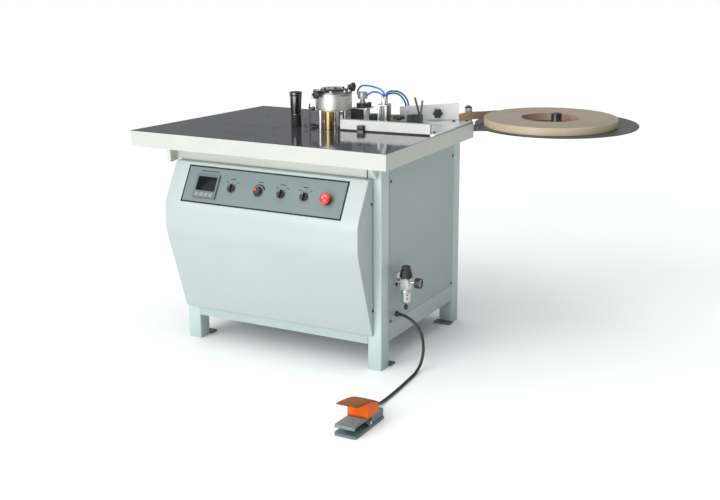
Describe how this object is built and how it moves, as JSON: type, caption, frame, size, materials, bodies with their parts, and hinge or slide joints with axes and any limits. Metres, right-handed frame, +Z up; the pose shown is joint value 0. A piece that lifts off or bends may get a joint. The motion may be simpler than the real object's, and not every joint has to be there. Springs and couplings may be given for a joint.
{
  "type": "edge banding machine",
  "caption": "Cabinet-mounted edge banding machine: table with heated glue pot, press and feed rollers, tape reel, cutter, air set and corded foot pedal.",
  "frame": {"origin": "on the floor at the middle of the four floor bolts, which is the middle of the cabinet's footprint", "axes": "+Z up, +X to the operator's right along the front of the table, +Y away from the operator"},
  "size_m": [1.827, 1.92, 1.061],
  "materials": {
    "cabinet_paint": "semi-gloss powder coat",
    "dark_steel": "matte painted",
    "screw_black": "blackened",
    "board_core": "painted edge",
    "laminate_grey": "gloss",
    "bronze": "turned",
    "panel_metal": "satin",
    "instrument": "fine texture",
    "black_plastic": "moulded",
    "red_plastic": "gloss",
    "zinc": "cast and machined",
    "hose_blue": "translucent tube",
    "cable_black": "sheathed",
    "pedal_teal": "enamel",
    "pedal_grey": "worn",
    "guard_orange": "enamel",
    "ground_steel": "ground and polished",
    "extrusion": "brushed",
    "cutter_black": "black oxide",
    "turned_steel": "turned",
    "rubber_black": "ground rubber",
    "motor_blue": "enamel",
    "chain_steel": "oiled",
    "tape_coil": "coiled banding",
    "tape_strip": "banding"
  },
  "bodies": {
    "frame": {"corner_posts": "cabinet_paint", "cross_rails": "cabinet_paint", "floor_brackets": "dark_steel", "cabinet_panels": "cabinet_paint", "hood": "cabinet_paint", "screws": "screw_black", "table_supports": "cabinet_paint", "front_board": "board_core", "rear_board": "board_core", "laminates": "laminate_grey", "shaft_bushes": "bronze", "control_plate": "panel_metal", "temp_controller": "instrument", "switch_collars": "black_plastic", "electrics_box": "cabinet_paint", "regulator_body": "zinc", "filter_bowl": "zinc", "pressure_gauge": "black_plastic", "air_hoses": "hose_blue", "cable_gland": "black_plastic", "pedal_cable": "cable_black", "pedal_base": "pedal_teal", "pedal_guard": "guard_orange", "base_plate": "ground_steel", "guide_rail": "extrusion", "rear_fence": "extrusion", "tape_guides": "zinc", "feed_cylinder": "zinc", "cutter_body": "cutter_black", "cutter_cylinder": "cutter_black", "air_manifold": "zinc", "glue_pot": "ground_steel", "pot_stand": "ground_steel", "guide_bracket": "zinc", "gearmotor": "motor_blue", "drive_chain": "chain_steel", "reel_arm": "dark_steel", "guide_post": "ground_steel", "tape_strand": "tape_strip"},
    "press_roller": {"press_roller": "turned_steel", "press_sleeve": "rubber_black"},
    "glue_roller": {"glue_roller": "bronze"},
    "feed_roller": {"feed_roller": "screw_black"},
    "drive_sprocket": {"drive_sprocket": "screw_black"},
    "pot_lid": {"pot_lid": "ground_steel"},
    "pot_knob_left": {"pot_knob_left": "black_plastic"},
    "pot_knob_right": {"pot_knob_right": "black_plastic"},
    "mode_switch": {"mode_switch": "black_plastic"},
    "heat_switch": {"heat_switch": "black_plastic"},
    "cut_switch": {"cut_switch": "black_plastic"},
    "speed_knob": {"speed_knob": "black_plastic"},
    "estop_button": {"estop_button": "red_plastic"},
    "regulator_knob": {"regulator_knob": "black_plastic"},
    "drain_valve": {"drain_valve": "black_plastic"},
    "fence_knob": {"fence_knob": "black_plastic"},
    "stop_knob": {"stop_knob": "black_plastic"},
    "cutter_blade": {"cutter_blade": "ground_steel"},
    "reel_tray": {"reel_tray": "dark_steel"},
    "tape_roll": {"tape_roll": "tape_coil"},
    "pedal_treadle": {"pedal_treadle": "pedal_grey"}
  },
  "joints": [
    {"name": "press_roller_spin", "type": "hinge", "parent": "frame", "child": "press_roller", "pos_m": [-0.111, -0.037, 0.9], "axis": [0, 0, 1], "continuous": true},
    {"name": "glue_roller_spin", "type": "hinge", "parent": "frame", "child": "glue_roller", "pos_m": [0.049, -0.038, 0.9], "axis": [0, 0, 1], "continuous": true},
    {"name": "feed_roller_spin", "type": "hinge", "parent": "frame", "child": "feed_roller", "pos_m": [0.1705, 0.1368, 0.9], "axis": [0, 0, 1], "continuous": true},
    {"name": "drive_sprocket_spin", "type": "hinge", "parent": "frame", "child": "drive_sprocket", "pos_m": [-0.045, 0.15, 0.78], "axis": [0, 0, 1], "continuous": true},
    {"name": "pot_lid_open", "type": "hinge", "parent": "frame", "child": "pot_lid", "pos_m": [-0.0545, 0.032, 1.009], "axis": [0, -1, 0], "range_deg": [0, 95]},
    {"name": "pot_knob_left_turn", "type": "hinge", "parent": "pot_lid", "child": "pot_knob_left", "pos_m": [0.001, -0.049, 1.021], "axis": [0, -1, 0], "range_deg": [-180, 180]},
    {"name": "pot_knob_right_turn", "type": "hinge", "parent": "pot_lid", "child": "pot_knob_right", "pos_m": [0.081, 0.087, 1.041], "axis": [1, 0, 0], "range_deg": [-180, 180]},
    {"name": "mode_switch_turn", "type": "hinge", "parent": "frame", "child": "mode_switch", "pos_m": [-0.163, -0.45335, 0.68764], "axis": [0, -0.8669, 0.4985], "range_deg": [-45, 45]},
    {"name": "heat_switch_turn", "type": "hinge", "parent": "frame", "child": "heat_switch", "pos_m": [0.067, -0.45335, 0.68764], "axis": [0, -0.8669, 0.4985], "range_deg": [-45, 45]},
    {"name": "cut_switch_turn", "type": "hinge", "parent": "frame", "child": "cut_switch", "pos_m": [0.171, -0.45335, 0.68764], "axis": [0, -0.8669, 0.4985], "range_deg": [-45, 45]},
    {"name": "speed_knob_turn", "type": "hinge", "parent": "frame", "child": "speed_knob", "pos_m": [-0.037, -0.45335, 0.68764], "axis": [0, -0.8669, 0.4985], "range_deg": [-135, 135]},
    {"name": "estop_press", "type": "slide", "parent": "frame", "child": "estop_button", "axis": [0, 0.8669, -0.4985], "range_m": [0, 0.006], "stiffness_N_per_m": 1500, "springref_m": -0.002},
    {"name": "regulator_knob_turn", "type": "hinge", "parent": "frame", "child": "regulator_knob", "pos_m": [0.5, -0.235, 0.38], "axis": [0, 0, 1], "range_deg": [-180, 180]},
    {"name": "drain_valve_turn", "type": "hinge", "parent": "frame", "child": "drain_valve", "pos_m": [0.5, -0.235, 0.24], "axis": [0, 0, 1], "range_deg": [0, 90]},
    {"name": "fence_knob_turn", "type": "hinge", "parent": "frame", "child": "fence_knob", "pos_m": [0.39352, 0.2758, 0.926], "axis": [0.4924, -0.8704, 0], "range_deg": [-180, 180]},
    {"name": "stop_knob_turn", "type": "hinge", "parent": "frame", "child": "stop_knob", "pos_m": [0.278, 0.145, 0.91], "axis": [0, 0, 1], "range_deg": [-180, 180]},
    {"name": "cutter_stroke", "type": "slide", "parent": "frame", "child": "cutter_blade", "axis": [0, 0, -1], "range_m": [0, 0.0335], "stiffness_N_per_m": 300, "springref_m": -0.01},
    {"name": "reel_tray_spin", "type": "hinge", "parent": "frame", "child": "reel_tray", "pos_m": [0.81, 0.585, 0.87], "axis": [0, 0, 1], "continuous": true},
    {"name": "tape_roll_spin", "type": "hinge", "parent": "frame", "child": "tape_roll", "pos_m": [0.798, 0.545, 0.88], "axis": [0, 0, 1], "continuous": true},
    {"name": "pedal_press", "type": "hinge", "parent": "frame", "child": "pedal_treadle", "pos_m": [0.636, -0.878, 0.022], "axis": [1, 0, 0], "range_deg": [0, 8], "stiffness_Nm_per_rad": 3, "springref_deg": -17.19}
  ],
  "couplings": [
    {"joint": "glue_roller_spin", "follows": "press_roller_spin", "ratio": 1},
    {"joint": "feed_roller_spin", "follows": "press_roller_spin", "ratio": 1},
    {"joint": "drive_sprocket_spin", "follows": "press_roller_spin", "ratio": 1},
    {"joint": "tape_roll_spin", "follows": "reel_tray_spin", "ratio": 1}
  ]
}
